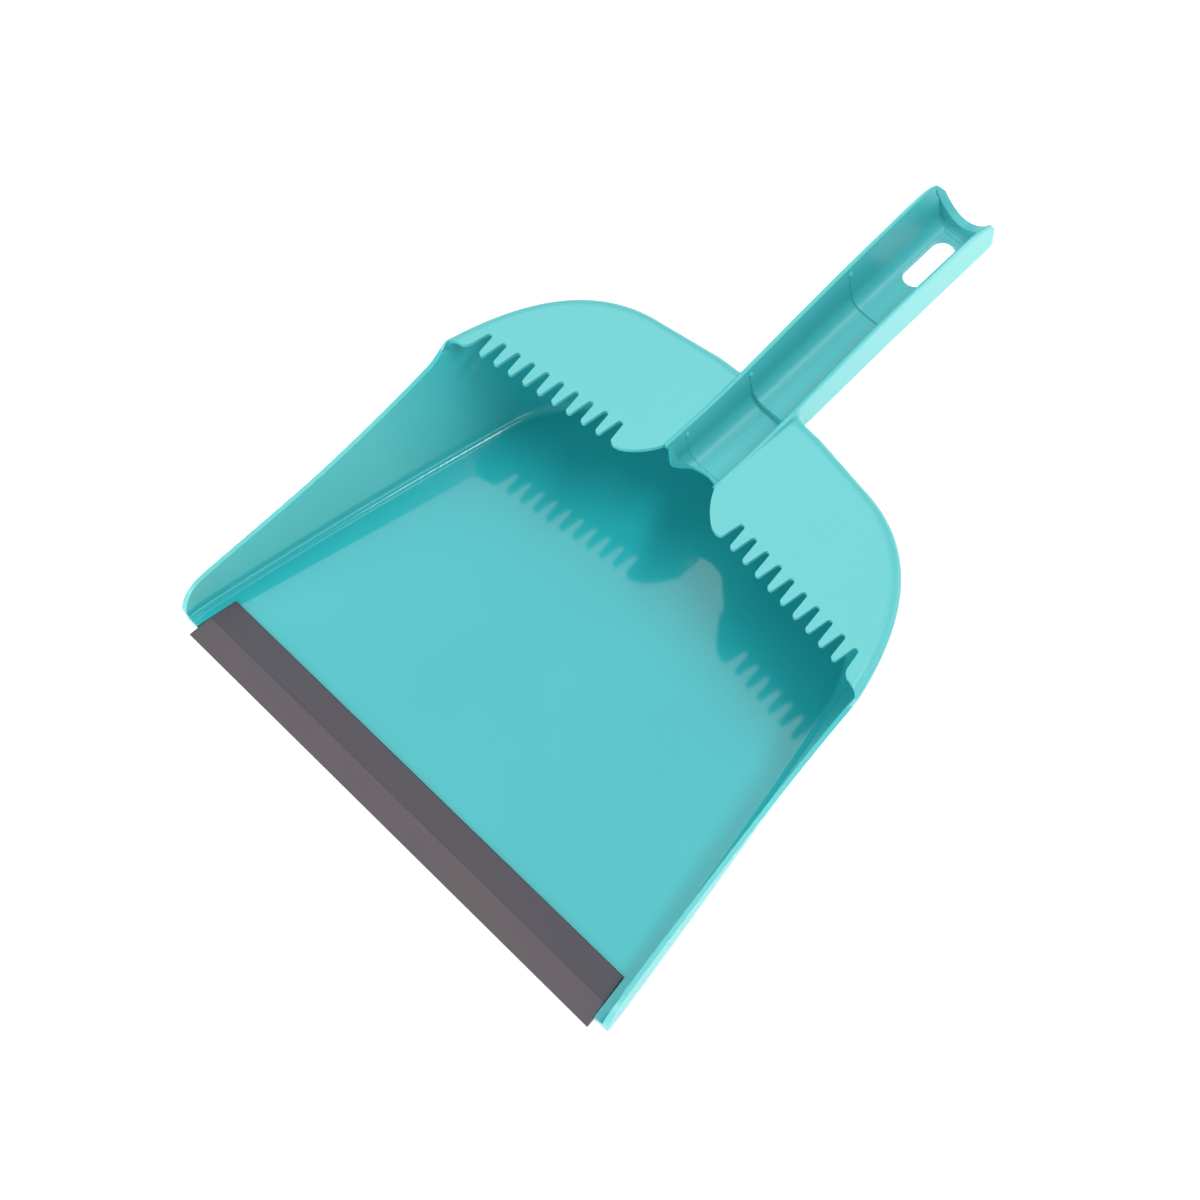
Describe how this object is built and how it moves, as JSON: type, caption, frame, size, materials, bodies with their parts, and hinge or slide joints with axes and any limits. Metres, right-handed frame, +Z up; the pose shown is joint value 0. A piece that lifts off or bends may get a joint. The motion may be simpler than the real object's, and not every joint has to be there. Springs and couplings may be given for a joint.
{
  "type": "dustpan with comb-edged hood and soft front lip",
  "caption": "Moulded dustpan with raised side walls, a hood with comb teeth at the back, a trough-shaped handle with a hanging slot, and a soft lip along its front edge.",
  "frame": {"origin": "on the surface the pan rests on, under the middle of its width and length", "axes": "+Y from the lip to the handle's end, +X across the pan, +Z up"},
  "size_m": [0.2348, 0.3136, 0.0712],
  "materials": {
    "aqua_plastic": "gloss",
    "grey_rubber": "matt"
  },
  "bodies": {
    "root": {"pan": "aqua_plastic", "rubber_lip": "grey_rubber"}
  },
  "joints": []
}
